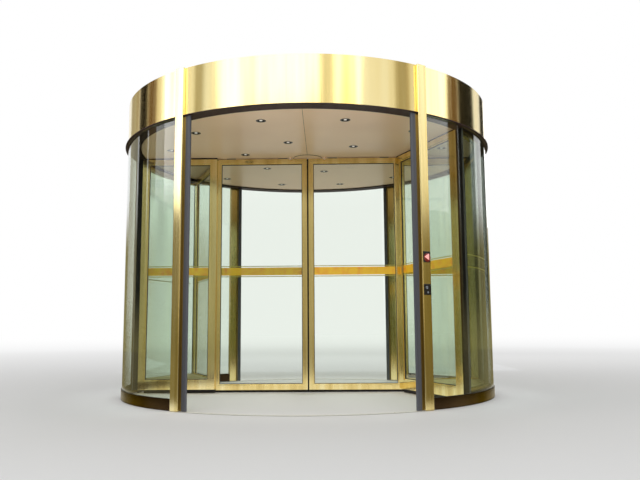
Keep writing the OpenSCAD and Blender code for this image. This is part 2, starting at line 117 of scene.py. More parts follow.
# The floor's white share grows as 1 / (distance + floor_haze) falls from one limit to the other
floor_r, floor_drop, floor_haze, pale_limit, white_limit = 60, 0.001, 7.0, 0.108, 0.019
bpy.ops.object.select_all(action="DESELECT")
bpy.ops.mesh.primitive_circle_add(
    vertices=96, radius=floor_r, fill_type="NGON", location=(0, 0, -floor_drop)
)
floor = bpy.context.object
floor.name = "studio_floor"
floor_paint = bpy.data.materials.new("pale_floor")
floor_paint.use_nodes = True
tree = floor_paint.node_tree
matte = tree.nodes["Principled BSDF"]
matte.inputs["Roughness"].default_value = 0.7
matte.inputs["Base Color"].default_value = (0.72, 0.71, 0.70, 1)
glow = tree.nodes.new("ShaderNodeEmission")
place = tree.nodes.new("ShaderNodeTexCoord").outputs["Object"]
distance = calculate(tree, "VectorMath", "LENGTH", place)["Value"]
hazed = calculate(tree, "Math", "ADD", distance, floor_haze)["Value"]
nearness = calculate(tree, "Math", "DIVIDE", 1.0, hazed)["Value"]
whiteness = fade_between(tree, nearness, pale_limit, white_limit)
tree.links.new(
    mix_shaders(tree, whiteness, matte, glow),
    tree.nodes["Material Output"].inputs["Surface"],
)
floor.data.materials.append(floor_paint)


# A wide soft box in front gives the mirror sheet its broad highlight, narrow ones light the two
# sides, and one behind lights the back. Each is given by its bearing from the front entrance.

# A point at a bearing in degrees and a distance from the drum's axis
def point_at(bearing, distance, z):
    angle = radians(bearing - 90)
    return Vector((distance * cos(angle), distance * sin(angle), z))


box_distance, box_height, box_z, aim_z = 9.0, 6.2, 6.0, 4.5
for name, bearing, width, power in (
    ("front_soft_box", -8.5, 15.2, 500),
    ("left_soft_box", -77.5, 2.5, 145),
    ("right_soft_box", 77.5, 3.2, 80),
    ("back_soft_box", 171.5, 8.0, 260),
):
    lamp_data = bpy.data.lights.new(name, "AREA")
    lamp_data.shape = "RECTANGLE"
    lamp_data.size = width
    lamp_data.size_y = box_height
    lamp_data.energy = power
    lamp = bpy.data.objects.new(name, lamp_data)
    lamp.visible_camera = False
    lamp.visible_transmission = False
    lamp.location = point_at(bearing, box_distance, box_z)
    beam = Vector((0, 0, aim_z)) - lamp.location
    lamp.rotation_euler = beam.to_track_quat("-Z", "Y").to_euler()
    bpy.context.scene.collection.objects.link(lamp)


# Flags, seen only in the metal and the glass, after a mirror bounce: a curtain all round, carpets
# and mats on the floor, tall flags, a grey card, a low flag and two low strip boxes. They give
# the mirror sheet its darker lower half, its dark upright bands and its bright corners.

# A flag's cloth thins out at two hems, given as (solid at, gone at), upwards or from the axis
def flag_cloth(name, tone, hems, along="Z"):
    cloth = bpy.data.materials.new(name)
    cloth.use_nodes = True
    tree = cloth.node_tree
    tree.nodes.clear()
    place = tree.nodes.new("ShaderNodeTexCoord").outputs["Object"]
    if along == "R":
        measure = calculate(tree, "VectorMath", "LENGTH", place)["Value"]
    else:
        split = tree.nodes.new("ShaderNodeSeparateXYZ")
        tree.links.new(place, split.inputs[0])
        measure = split.outputs["Z"]
    near_hem, far_hem = (fade_between(tree, measure, gone, solid) for solid, gone in hems)
    woven = calculate(tree, "Math", "MULTIPLY", near_hem, far_hem)["Value"]
    mirrored = tree.nodes.new("ShaderNodeLightPath").outputs["Glossy Depth"]
    shown = calculate(tree, "Math", "MINIMUM", woven, mirrored)["Value"]
    clear = tree.nodes.new("ShaderNodeBsdfTransparent")
    glow = tree.nodes.new("ShaderNodeEmission")
    glow.inputs["Color"].default_value = (*tone, 1)
    out = tree.nodes.new("ShaderNodeOutputMaterial")
    tree.links.new(mix_shaders(tree, shown, clear, glow), out.inputs["Surface"])
    return cloth


def hang_flag(flag, name, cloth):
    flag.name = name
    flag.data.materials.append(cloth)
    flag.visible_camera = False
    flag.visible_diffuse = False
    flag.visible_shadow = False


# Adds a primitive with nothing else selected, and puts its place into its mesh
def add_in_place(add, **settings):
    bpy.ops.object.select_all(action="DESELECT")
    add(**settings)
    bpy.ops.object.transform_apply(location=True, rotation=True, scale=True)
    return bpy.context.object


curtain_r, curtain_height = 14, 4.8
curtain = add_in_place(
    bpy.ops.mesh.primitive_cylinder_add,
    vertices=96, radius=curtain_r, depth=curtain_height, end_fill_type="NOTHING",
    location=(0, 0, curtain_height / 2),
)
grey_curtain = flag_cloth("grey_curtain", (0.27, 0.23, 0.095), ((0.0, -0.1), (2.6, 4.5)))
hang_flag(curtain, "studio_curtain", grey_curtain)

brown_carpet = flag_cloth("brown_carpet", (0.22, 0.185, 0.085), ((2.5, 1.9), (14.5, 15.0)), "R")
grey_mat = flag_cloth("grey_mat", (0.36, 0.34, 0.28), ((2.9, 2.3), (8.0, 8.1)), "R")
pale_mat = flag_cloth("pale_mat", (0.95, 0.92, 0.82), ((0.3, 0.1), (1.5, 2.6)), "R")
carpet_z, front_mat_z, inner_mat_z, inner_mat_r = 0.003, 0.006, 0.009, 2.7
for name, cloth, x, y, z, wide, deep in (
    ("studio_carpet_0", brown_carpet, 0, -5.4, carpet_z, 28, 17.2),
    ("studio_carpet_1", brown_carpet, -8.5, 8.6, carpet_z, 11, 10.8),
    ("studio_carpet_2", brown_carpet, 8.5, 8.6, carpet_z, 11, 10.8),
    ("studio_front_mat", grey_mat, 0, -4.9, front_mat_z, 7.6, 5.2),
):
    bpy.ops.mesh.primitive_plane_add(size=1, location=(x, y, z))
    laid = bpy.context.object
    laid.scale = (wide, deep, 1)
    bpy.ops.object.transform_apply(location=True, scale=True)
    hang_flag(laid, name, cloth)
inner_mat = add_in_place(
    bpy.ops.mesh.primitive_circle_add,
    vertices=96, radius=inner_mat_r, fill_type="NGON", location=(0, 0, inner_mat_z),
)
hang_flag(inner_mat, "studio_inner_mat", pale_mat)

flag_foot = 0.2
tall, tall_hems = 9.8, ((1.5, 0.2), (9.0, 9.9))
black_cloth = flag_cloth("black_flag", (0.012, 0.011, 0.007), tall_hems)
brown_cloth = flag_cloth("brown_flag", (0.16, 0.09, 0.035), tall_hems)
tan_cloth = flag_cloth("tan_flag", (0.46, 0.42, 0.30), tall_hems)
pale_cloth = flag_cloth("pale_flag", (0.95, 0.95, 0.90), tall_hems)
grey_card = flag_cloth("grey_card", (0.40, 0.37, 0.26), ((0.3, 0.2), (3.1, 4.7)))
low_cloth = flag_cloth("low_flag", (0.15, 0.125, 0.05), ((0.3, 0.2), (2.4, 3.1)))
strip_glow = flag_cloth("low_strip_box", (1.7, 1.5, 1.15), ((1.0, 0.2), (1.8, 2.8)))
for number, (start, end, distance, height, cloth) in enumerate((
    (98.2, 118.5, 9.0, tall, black_cloth),
    (88.4, 97.5, 9.0, tall, brown_cloth),
    (131.0, 143.0, 9.0, tall, black_cloth),
    (49.0, 56.5, 6.9, tall, tan_cloth),
    (8.6, 16.0, 7.6, tall, pale_cloth),
    (-114.9, -102.8, 9.0, tall, black_cloth),
    (-101.4, -93.2, 9.0, tall, brown_cloth),
    (-134.0, -117.0, 9.0, tall, tan_cloth),
    (-59.0, -53.0, 6.9, tall, tan_cloth),
    (-66.5, -63.0, 6.9, tall, pale_cloth),
    (42.0, 54.0, 6.5, 2.6, strip_glow),
    (-54.0, -42.0, 6.5, 2.6, strip_glow),
    (-40.0, 40.0, 7.5, 4.5, grey_card),
    (-92.0, -68.0, 6.9, 3.2, low_cloth),
)):
    spot = point_at((start + end) / 2, distance, flag_foot + height / 2)
    bpy.ops.mesh.primitive_plane_add(size=1)
    flag = bpy.context.object
    flag.scale = (distance * radians(end - start), height, 1)
    flag.location = spot
    flag.rotation_euler = (Vector((0, 0, spot.z)) - spot).to_track_quat("Z", "Y").to_euler()
    bpy.ops.object.transform_apply(location=True, rotation=True, scale=True)
    hang_flag(flag, f"studio_flag_{number}", cloth)


# Fascia: mirror-polished gold stainless sheet, rolled to the drum and fixed with hidden clips.
# Soft upright light and dark streaks in its colour are painted reflections, and the sheet is
# never quite flat.

# A new material, with its node tree and its main shader
def new_material(name):
    material = bpy.data.materials.new(name)
    material.use_nodes = True
    return material, material.node_tree, material.node_tree.nodes["Principled BSDF"]


def noise(tree, scale, detail=2.0, stretch=(1, 1, 1)):
    place = tree.nodes.new("ShaderNodeTexCoord")
    mapping = tree.nodes.new("ShaderNodeMapping")
    mapping.inputs["Scale"].default_value = stretch
    texture = tree.nodes.new("ShaderNodeTexNoise")
    texture.inputs["Scale"].default_value = scale
    texture.inputs["Detail"].default_value = detail
    tree.links.new(place.outputs["Object"], mapping.inputs["Vector"])
    tree.links.new(mapping.outputs[0], texture.inputs["Vector"])
    return texture.outputs["Fac"]


def ramp(tree, value, stops):
    node = tree.nodes.new("ShaderNodeValToRGB")
    marks = node.color_ramp.elements
    while len(marks) < len(stops):
        marks.new(0.5)
    for mark, (place, colour) in zip(marks, stops):
        mark.position = place
        mark.color = (*colour, 1)
    tree.links.new(value, node.inputs["Fac"])
    return node.outputs["Color"]


# The colour of a finish, and how matt it is, each between the ends of a pattern
def tint(tree, shader, value, stops):
    tree.links.new(ramp(tree, value, stops), shader.inputs["Base Color"])


def polish(tree, shader, value, low, high):
    node = tree.nodes.new("ShaderNodeMapRange")
    node.inputs["To Min"].default_value = low
    node.inputs["To Max"].default_value = high
    tree.links.new(value, node.inputs["Value"])
    tree.links.new(node.outputs["Result"], shader.inputs["Roughness"])


def bump(tree, shader, value, distance, strength=1.0):
    node = tree.nodes.new("ShaderNodeBump")
    node.inputs["Distance"].default_value = distance
    node.inputs["Strength"].default_value = strength
    tree.links.new(value, node.inputs["Height"])
    tree.links.new(node.outputs[0], shader.inputs["Normal"])


# Only one object selected and active
def pick_only(piece):
    bpy.ops.object.select_all(action="DESELECT")
    bpy.context.view_layer.objects.active = piece
    piece.select_set(True)


def apply_modifier(piece, kind, **settings):
    modifier = piece.modifiers.new(kind.lower(), kind)
    for key, value in settings.items():
        setattr(modifier, key, value)
    pick_only(piece)
    bpy.ops.object.modifier_apply(modifier=modifier.name)


body_of_node = {
    name: body for body, names in frame["record"]["behaviour"]["bodies"].items() for name in names
}
weld_distance = 0.00002
flat_within, corner_from, smooth_within = radians(0.4), radians(35), radians(32)
flat_face_weight = 80


# A copy of a CAD node with its doubles merged, its flat faces joined and its edges rounded
def soften(name, material, edge_r, segments=2):
    piece = bpy.data.objects.new(name + "_sheet", frame["nodes"][name].data.copy())
    bpy.context.scene.collection.objects.link(piece)
    pick_only(piece)
    bpy.ops.object.mode_set(mode="EDIT")
    bpy.ops.mesh.select_all(action="SELECT")
    bpy.ops.mesh.remove_doubles(threshold=weld_distance)
    bpy.ops.mesh.customdata_custom_splitnormals_clear()
    bpy.ops.mesh.dissolve_limited(angle_limit=flat_within)
    bpy.ops.object.mode_set(mode="OBJECT")
    apply_modifier(
        piece, "BEVEL",
        width=edge_r, segments=segments, limit_method="ANGLE", angle_limit=corner_from,
    )
    bpy.ops.object.shade_smooth_by_angle(angle=smooth_within)
    apply_modifier(piece, "WEIGHTED_NORMAL", keep_sharp=True, weight=flat_face_weight)
    piece.data.materials.clear()
    piece.data.materials.append(material)
    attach(piece, body_of_node[name])
    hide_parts(name)


fascia_edge_r = 0.0012
fascia_gold, tree, shader = new_material("mirror_gold_fascia")
shader.inputs["Metallic"].default_value = 1.0
# The streaked colour is painted reflection: light and dark upright bands of the surroundings.
tint(tree, shader, noise(tree, 3.6, 3.0, (1, 1, 0.05)), [
    (0.30, (0.50, 0.35, 0.10)),
    (0.42, (0.74, 0.55, 0.20)),
    (0.54, (0.87, 0.71, 0.33)),
    (0.70, (0.92, 0.80, 0.43)),
])
polish(tree, shader, noise(tree, 60, 4.0, (1, 1, 0.02)), 0.06, 0.2)
bump(tree, shader, noise(tree, 2.0, 1.0, (1, 1, 0.25)), 0.006)
for name in ("front_fascia", "back_fascia", "left_fascia", "right_fascia"):
    soften(name, fascia_gold, fascia_edge_r)


# Joint covers of the fascia: slim folded strips of the gold sheet, glued over the butt joints
# where two sheets meet, one in front and one behind.

# A flat face standing in the XZ plane at a depth y, and a sheet of a thickness made from it
def standing_face(x0, x1, y, z0, z1):
    bpy.ops.object.select_all(action="DESELECT")
    bpy.ops.mesh.primitive_plane_add(
        size=1, location=((x0 + x1) / 2, y, (z0 + z1) / 2), rotation=(pi / 2, 0, 0)
    )
    face = bpy.context.object
    face.scale = (x1 - x0, z1 - z0, 1)
    bpy.ops.object.transform_apply(location=True, rotation=True, scale=True)
    return face


def standing_sheet(x0, x1, y, z0, z1, thickness):
    sheet = standing_face(x0, x1, y, z0, z1)
    apply_modifier(sheet, "SOLIDIFY", thickness=thickness, offset=0)
    return sheet


# Turns a piece about the drum's axis, or about a point, and applies its place to its mesh
def turn_about_axis(piece, angle, point=(0, 0, 0)):
    pick_only(piece)
    spin = Matrix.Rotation(angle, 4, "Z")
    piece.matrix_world = Matrix.Translation(point) @ spin @ piece.matrix_world
    bpy.ops.object.transform_apply(location=True, rotation=True, scale=True)


# A copy with its own mesh, on the other side of the drum's axis
def twin(piece):
    other = piece.copy()
    other.data = piece.data.copy()
    bpy.context.scene.collection.objects.link(other)
    turn_about_axis(other, pi)
    return other


def join(pieces):
    bpy.ops.object.select_all(action="DESELECT")
    for piece in pieces:
        piece.select_set(True)
    bpy.context.view_layer.objects.active = pieces[0]
    bpy.ops.object.join()
    return pieces[0]


# Names a finished piece, turns its faces outwards, and gives it its body and finishes
def mount(piece, name, body, *materials, slot=None):
    pick_only(piece)
    piece.name = name
    bpy.ops.object.mode_set(mode="EDIT")
    bpy.ops.mesh.select_all(action="SELECT")
    bpy.ops.mesh.normals_make_consistent(inside=False)
    bpy.ops.object.mode_set(mode="OBJECT")
    bpy.ops.object.shade_smooth_by_angle(angle=smooth_within)
    finish_numbers = [face.material_index for face in piece.data.polygons]
    piece.data.materials.clear()
    for material in materials:
        piece.data.materials.append(material)
    piece.data.polygons.foreach_set("material_index", finish_numbers)
    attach(piece, body)


cover_half, cover_t, cover_edge_r, cover_gap = 0.0016, 0.0012, 0.0003, 0.001
cover_distance, cover_bearing = 1.8002, 5.6
joint_gold, tree, shader = new_material("darker_gold_strip")
shader.inputs["Metallic"].default_value = 1.0
shader.inputs["Roughness"].default_value = 0.25
tint(tree, shader, noise(tree, 20, 2.0, (1, 1, 0.1)), [
    (0.3, (0.52, 0.40, 0.14)), (0.7, (0.66, 0.52, 0.20)),
])
fascia_low, fascia_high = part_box("front_fascia")
cover = standing_sheet(
    -cover_half, cover_half, -cover_distance,
    fascia_low.z + cover_gap, fascia_high.z - cover_gap, cover_t,
)
apply_modifier(cover, "BEVEL", width=cover_edge_r, segments=2)
turn_about_axis(cover, radians(cover_bearing))
mount(join([cover, twin(cover)]), "fascia_joint_covers", "drum", joint_gold, slot="gold")

# Posts: tall box posts beside the entrances, folded from the same gold sheet, with crisp
# rounded corners. They stand on the floor and carry the fascia ring.
post_edge_r = 0.007
post_gold, tree, shader = new_material("mirror_gold_posts")
shader.inputs["Metallic"].default_value = 1.0
# Upright light and dark streaks in the colour are painted reflections.
tint(tree, shader, noise(tree, 9, 3.0, (1, 1, 0.04)), [
    (0.32, (0.64, 0.50, 0.20)),
    (0.50, (0.78, 0.65, 0.32)),
    (0.68, (0.92, 0.81, 0.48)),
])
polish(tree, shader, noise(tree, 90, 4.0, (1, 1, 0.02)), 0.08, 0.24)
bump(tree, shader, noise(tree, 5.0, 1.0, (1, 1, 0.2)), 0.002)
for name in ("front_left_post", "front_right_post", "back_left_post", "back_right_post"):
    soften(name, post_gold, post_edge_r, segments=4)


# Safety edges: soft grey rubber profile with upright ribs, pushed on to a dark gold rail that
# shows along the post's side. The rail ends rail_reach from the post's middle plane.

# One tone over a part of a piece, and another over the rest
def two_finishes(tree, shader, first_tone, second_tone, in_second):
    tone = tree.nodes.new("ShaderNodeMix")
    tone.data_type = "RGBA"
    tree.links.new(in_second, tone.inputs["Factor"])
    tree.links.new(first_tone, tone.inputs["A"])
    tree.links.new(second_tone, tone.inputs["B"])
    tree.links.new(tone.outputs["Result"], shader.inputs["Base Color"])


post_bearing = radians(33.3)
rail_reach, safety_edge_r = 0.060, 0.002
edge_rubber, tree, shader = new_material("grey_safety_rubber")
rubber_tone = ramp(tree, noise(tree, 26, 2.0, (1, 1, 0.01)), [
    (0.35, (0.045, 0.047, 0.058)), (0.65, (0.100, 0.102, 0.118)),
])
rail_tone = ramp(tree, noise(tree, 12, 2.0, (1, 1, 0.05)), [
    (0.3, (0.16, 0.12, 0.05)), (0.7, (0.24, 0.18, 0.07)),
])
place = tree.nodes.new("ShaderNodeTexCoord").outputs["Object"]
any_quarter = calculate(tree, "VectorMath", "ABSOLUTE", place)["Vector"]
to_entrance = (-cos(post_bearing), sin(post_bearing), 0)
past_post = calculate(tree, "VectorMath", "DOT_PRODUCT", any_quarter, to_entrance)["Value"]
on_rail = calculate(tree, "Math", "LESS_THAN", past_post, rail_reach)["Value"]
two_finishes(tree, shader, rubber_tone, rail_tone, on_rail)
tree.links.new(on_rail, shader.inputs["Metallic"])
polish(tree, shader, on_rail, 0.55, 0.3)
bump(tree, shader, noise(tree, 160, 1.0, (1, 1, 0.002)), 0.0012)
soften("safety_edges", edge_rubber, safety_edge_r)


# Mullions at the middle of the curved walls and skirts under their glass: folded from dark
# polished bronze-tone sheet. The soffit ring over the glass is matt, and its near-black brown
# is painted shade on this underside.

# Gives CAD nodes whose shape stays as it is their finish
def dress(material, *names):
    for name in names:
        mesh = frame["nodes"][name].data
        mesh.materials.clear()
        mesh.materials.append(material)


bronze_edge_r = 0.0015
bronze, tree, shader = new_material("dark_bronze_sheet")
shader.inputs["Metallic"].default_value = 1.0
shader.inputs["Specular Tint"].default_value = (0.62, 0.56, 0.42, 1)
polish(tree, shader, noise(tree, 30, 3.0, (1, 1, 0.1)), 0.14, 0.32)
tint(tree, shader, noise(tree, 3, 3.0, (1, 1, 0.2)), [
    (0.3, (0.036, 0.020, 0.010)), (0.7, (0.078, 0.050, 0.026)),
])
# The soffit's near-black brown is painted shade of the underside.
soffit_shade_paint, tree, shader = new_material("soffit_painted_shade")
shader.inputs["Roughness"].default_value = 0.5
shader.inputs["Specular IOR Level"].default_value = 0.15
tint(tree, shader, noise(tree, 4, 3.0), [
    (0.3, (0.030, 0.014, 0.013)), (0.7, (0.050, 0.025, 0.023)),
])
dress(soffit_shade_paint, "soffit_ring")
for name in ("left_mullion", "right_mullion", "skirts"):
    soften(name, bronze, bronze_edge_r)

# Wall glass, and the panes of the wings and leaves: clear safety glass with a faint green cast,
# bent to the drum in the walls and held in channels along its edges. It lets light through.
glass, tree, shader = new_material("clear_safety_glass")
shader.inputs["Base Color"].default_value = (0.86, 0.92, 0.86, 1)
shader.inputs["Roughness"].default_value = 0.0
shader.inputs["IOR"].default_value = 1.52
shader.inputs["Transmission Weight"].default_value = 1.0
through = tree.nodes.new("ShaderNodeBsdfTransparent")
through.inputs["Color"].default_value = (0.88, 0.93, 0.90, 1)
shadow_ray = tree.nodes.new("ShaderNodeLightPath").outputs["Is Shadow Ray"]
tree.links.new(
    mix_shaders(tree, shadow_ray, shader, through),
    tree.nodes["Material Output"].inputs["Surface"],
)
dress(
    glass,
    "left_wall_glass", "right_wall_glass", "left_wing_glass", "right_wing_glass",
    "left_leaf_glass", "right_leaf_glass",
)


# Silicone joints: thin dark beads that seal the wall glass on the skirts. Each is run round one
# quarter of the wall, from the mullion to the post, and smoothed off.

# Selects the faces that pass a test, in face mode, and leaves edit mode on
def select_faces(piece, test):
    bpy.ops.object.mode_set(mode="EDIT")
    bpy.ops.mesh.select_mode(type="FACE")
    bpy.ops.mesh.select_all(action="DESELECT")
    bpy.ops.object.mode_set(mode="OBJECT")
    for face in piece.data.polygons:
        face.select = test(face)
    bpy.ops.object.mode_set(mode="EDIT")


# A band of rectangular section run round the drum's axis between two polar angles, in degrees
def run_round(r0, r1, z0, z1, start, end, steps):
    band = standing_face(r0, r1, 0, z0, z1)
    select_faces(band, lambda face: True)
    bpy.ops.mesh.spin(steps=steps, angle=radians(end - start), center=(0, 0, 0), axis=(0, 0, -1))
    bpy.ops.object.mode_set(mode="OBJECT")
    turn_about_axis(band, radians(start))
    return band


bead_inner_r, bead_outer_r, bead_height = 1.7995, 1.8025, 0.004
mullion_end, post_end, curve_steps = 0.75, 55.1, 40
silicone, tree, shader = new_material("dark_silicone")
shader.inputs["Roughness"].default_value = 0.4
tint(tree, shader, noise(tree, 60, 2.0), [
    (0.3, (0.012, 0.011, 0.010)), (0.7, (0.03, 0.028, 0.026)),
])
glass_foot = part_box("right_wall_glass")[0].z
beads = []
for start, end in ((-post_end, -mullion_end), (mullion_end, post_end)):
    bead = run_round(
        bead_inner_r, bead_outer_r, glass_foot, glass_foot + bead_height, start, end, curve_steps
    )
    beads += [bead, twin(bead)]
mount(join(beads), "wall_glass_sealant", "drum", silicone, slot="rubber")

# Roof: a grey dust cover over the canopy, of plain sheets that are joined by standing seams. A
# seam's upstands are folded over along the top.
roof_rim_r, seam_t, seam_height, seam_edge_r = 1.74, 0.003, 0.018, 0.0008
fold_height, fold_widening = 0.003, 3.4
roof_sheet, tree, shader = new_material("grey_roof_sheet")
shader.inputs["Roughness"].default_value = 0.6
tint(tree, shader, noise(tree, 2.5, 4.0), [
    (0.3, (0.13, 0.13, 0.125)), (0.7, (0.20, 0.20, 0.19)),
])
dress(roof_sheet, "roof")
roof_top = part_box("roof")[1].z
seams = []
for y in (-1.2, -0.6, 0.0, 0.6, 1.2):
    reach = (roof_rim_r ** 2 - y ** 2) ** 0.5
    seam = standing_sheet(-reach, reach, y, roof_top, roof_top + seam_height, seam_t)
    select_faces(seam, lambda face: face.normal.z > 0.9)
    bpy.ops.mesh.extrude_region_move(TRANSFORM_OT_translate={"value": (0, 0, fold_height)})
    bpy.ops.transform.resize(value=(1, fold_widening, 1), center_override=(0, y, roof_top))
    bpy.ops.object.mode_set(mode="OBJECT")
    apply_modifier(seam, "BEVEL", width=seam_edge_r, segments=2, limit_method="ANGLE")
    seams.append(seam)
mount(join(seams), "roof_seams", "drum", roof_sheet, slot="sheet")

# Steelwork above the ceiling: beams, bearing, spindle and the leaves' channel and hangers, all
# in grey primer. The thresholds are strips of brushed stainless steel, let into the floor.
steel, tree, shader = new_material("primed_steel")
shader.inputs["Roughness"].default_value = 0.55
tint(tree, shader, noise(tree, 5, 3.0), [
    (0.3, (0.17, 0.175, 0.185)), (0.7, (0.24, 0.245, 0.25)),
])
dress(
    steel,
    "canopy_beams", "bearing", "spindle", "track_beam", "left_leaf_hangers", "right_leaf_hangers",
)
stainless, tree, shader = new_material("brushed_stainless")
shader.inputs["Metallic"].default_value = 1.0
shader.inputs["Base Color"].default_value = (0.6, 0.59, 0.56, 1)
polish(tree, shader, noise(tree, 200, 3.0, (1, 0.05, 1)), 0.2, 0.4)
dress(stainless, "thresholds")

# Ceiling: a flat disc of beige semi-gloss panel that turns with the wings, with a hub plate in
# its middle and sensors in the same finish, screwed on from below.
hub_edge_r = 0.001
beige, tree, shader = new_material("beige_ceiling_panel")
shader.inputs["Roughness"].default_value = 0.38
shader.inputs["Coat Weight"].default_value = 0.12
shader.inputs["Coat Roughness"].default_value = 0.16
tint(tree, shader, noise(tree, 1.5, 2.0), [
    (0.3, (0.88, 0.62, 0.40)), (0.7, (0.94, 0.68, 0.44)),
])
dress(beige, "ceiling", "door_sensors")
soften("hub_plate", beige, hub_edge_r)

# Hub rim and ceiling joints: a dark ring round the hub plate, which is painted shadow of the gap
# at its edge, and the hairline joint of the two half discs, running front to back
rim_gap, rim_wire_r, rim_sag = 0.0005, 0.0022, 0.0008
joint_half, joint_t, joint_end_gap, joint_drop = 0.0014, 0.0008, 0.004, 0.0002
joint_edge_r, joint_turn = 0.0002, 0.7
gasket_rubber, tree, shader = new_material("black_gasket")
shader.inputs["Roughness"].default_value = 0.55
tint(tree, shader, noise(tree, 40, 2.0), [
    (0.3, (0.010, 0.010, 0.010)), (0.7, (0.028, 0.027, 0.025)),
])
hub_low, hub_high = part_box("hub_plate")
ceiling_low, ceiling_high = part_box("ceiling")
hub_r, hub_middle = hub_high.x, (hub_low.z + hub_high.z) / 2
# This black ring is painted shadow: a dark line standing in for the gap at the hub plate's edge.
rim = add_in_place(
    bpy.ops.mesh.primitive_torus_add,
    major_radius=hub_r + rim_gap, minor_radius=rim_wire_r, major_segments=96, minor_segments=10,
    location=(0, 0, hub_middle),
)
select_faces(rim, lambda face: face.center.z < hub_middle)
bpy.ops.transform.translate(value=(0, 0, -rim_sag))
bpy.ops.object.mode_set(mode="OBJECT")
mount(rim, "hub_rim_painted_shadow", "rotor", gasket_rubber, slot="rubber")

hairline = standing_sheet(
    -joint_half, joint_half, 0, hub_r + joint_end_gap, ceiling_high.x - joint_end_gap, joint_t
)
pick_only(hairline)
hairline.rotation_euler = (pi / 2, 0, radians(joint_turn))
hairline.location.z = ceiling_low.z - joint_drop
bpy.ops.object.transform_apply(location=True, rotation=True, scale=True)
apply_modifier(hairline, "BEVEL", width=joint_edge_r, segments=1)
mount(join([hairline, twin(hairline)]), "ceiling_joints", "rotor", gasket_rubber, slot="rubber")


# Downlights: two rings of pressed cans, clipped into the ceiling's holes. Each has a baffle with
# a frosted lamp that fills its middle. The near-black of cans and baffles is painted shade of the
# cans' insides.

# Gives a piece its finishes, and each face the number of the one that it wears
def finish_faces(piece, materials, number_of):
    for material in materials:
        piece.data.materials.append(material)
    for face in piece.data.polygons:
        face.material_index = number_of(face)


baffle_r, baffle_height, baffle_lift = 0.0328, 0.012, 0.012
rim_width, cone_width, cone_rise = 0.003, 0.017, 0.004
lamp_drop, lamp_shoulder, lamp_crown = 0.0085, (0.0024, 0.0008), (0.004, 0.0006)
frost_r, frost_top = 0.0132, 0.0085
light_rings, first_light = ((12, 1.385), (6, 0.650)), -104.4
can_shade_paint, tree, shader = new_material("lamp_trim_painted_shade")
shader.inputs["Metallic"].default_value = 0.8
polish(tree, shader, noise(tree, 80, 2.0), 0.25, 0.4)
# Near-black colour: painted shade inside the cans.
tint(tree, shader, noise(tree, 30, 2.0), [
    (0.3, (0.035, 0.033, 0.030)), (0.7, (0.06, 0.057, 0.052)),
])
lamp_frost, tree, shader = new_material("frosted_lamp")
shader.inputs["Roughness"].default_value = 0.3
shader.inputs["Emission Color"].default_value = (1.0, 0.93, 0.82, 1)
shader.inputs["Emission Strength"].default_value = 0.35
tint(tree, shader, noise(tree, 90, 2.0), [
    (0.3, (0.70, 0.68, 0.62)), (0.7, (0.82, 0.80, 0.74)),
])
dress(can_shade_paint, "downlights")
can_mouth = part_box("downlights")[0].z
baffle = add_in_place(
    bpy.ops.mesh.primitive_cylinder_add,
    vertices=32, radius=baffle_r, depth=baffle_height, location=(0, 0, can_mouth + baffle_lift),
)
select_faces(baffle, lambda face: face.normal.z < -0.9)
bpy.ops.mesh.inset(thickness=rim_width)
bpy.ops.mesh.inset(thickness=cone_width, depth=-cone_rise)
bpy.ops.mesh.extrude_region_move(TRANSFORM_OT_translate={"value": (0, 0, -lamp_drop)})
for width, swell in (lamp_shoulder, lamp_crown):
    bpy.ops.mesh.inset(thickness=width, depth=swell)
bpy.ops.object.mode_set(mode="OBJECT")
finish_faces(baffle, (can_shade_paint, lamp_frost), lambda face: int(
    hypot(face.center.x, face.center.y) < frost_r and face.center.z < can_mouth + frost_top
))
lamps = []
for count, ring_r in light_rings:
    for number in range(count):
        lamp = baffle.copy()
        lamp.data = baffle.data.copy()
        bpy.context.scene.collection.objects.link(lamp)
        lamp.location.x = ring_r
        turn_about_axis(lamp, radians(first_light + 360 / count * number))
        lamps.append(lamp)
bpy.data.objects.remove(baffle)
mount(join(lamps), "downlight_lamps", "rotor", can_shade_paint, lamp_frost)

# Switch plates: two small boxes of gloss black plastic with rounded edges, screwed one above
# the other to the front of the right-hand post.
plate_edge_r = 0.002
black, tree, shader = new_material("black_switch_plastic")
shader.inputs["Roughness"].default_value = 0.2
shader.inputs["Base Color"].default_value = (0.01, 0.01, 0.012, 1)
soften("switch_plates", black, plate_edge_r)

# Switch fittings: on the upper plate a lit arrow that points to the entrance on a deep red
# lens, on the lower plate a key switch above a small pilot lamp. They are made facing +X, at
# the plates' distance from the axis, and then turned to the post.
plate_face, upper_z, lower_z = 1.836, 1.202, 0.942
light_y, arrow_r, arrow_t, arrow_lift = 0.002, 0.030, 0.004, 0.003
lens_r, lens_t, lens_sink, lens_drop, light_edge_r = 0.034, 0.005, 0.001, 0.006, 0.001
fitting_t, fitting_lift, fitting_edge_r = 0.006, 0.002, 0.0004
collar_share, groove_share, groove_depth, crown_share, crown_rise = 0.2, 0.12, 0.0012, 0.15, 0.002
arrow_pink, tree, shader = new_material("lit_pink_arrow")
shader.inputs["Roughness"].default_value = 0.25
shader.inputs["Emission Color"].default_value = (1.0, 0.34, 0.30, 1)
shader.inputs["Emission Strength"].default_value = 0.55
tint(tree, shader, noise(tree, 260, 1.0), [
    (0.35, (0.62, 0.26, 0.24)), (0.65, (0.80, 0.42, 0.38)),
])
red_lens, tree, shader = new_material("deep_red_lens")
shader.inputs["Roughness"].default_value = 0.2
shader.inputs["Emission Color"].default_value = (1.0, 0.04, 0.02, 1)
shader.inputs["Emission Strength"].default_value = 0.05
tint(tree, shader, noise(tree, 200, 1.0), [
    (0.35, (0.08, 0.006, 0.004)), (0.65, (0.16, 0.012, 0.010)),
])
key_metal, tree, shader = new_material("blue_grey_key_metal")
shader.inputs["Metallic"].default_value = 0.7
shader.inputs["Roughness"].default_value = 0.35
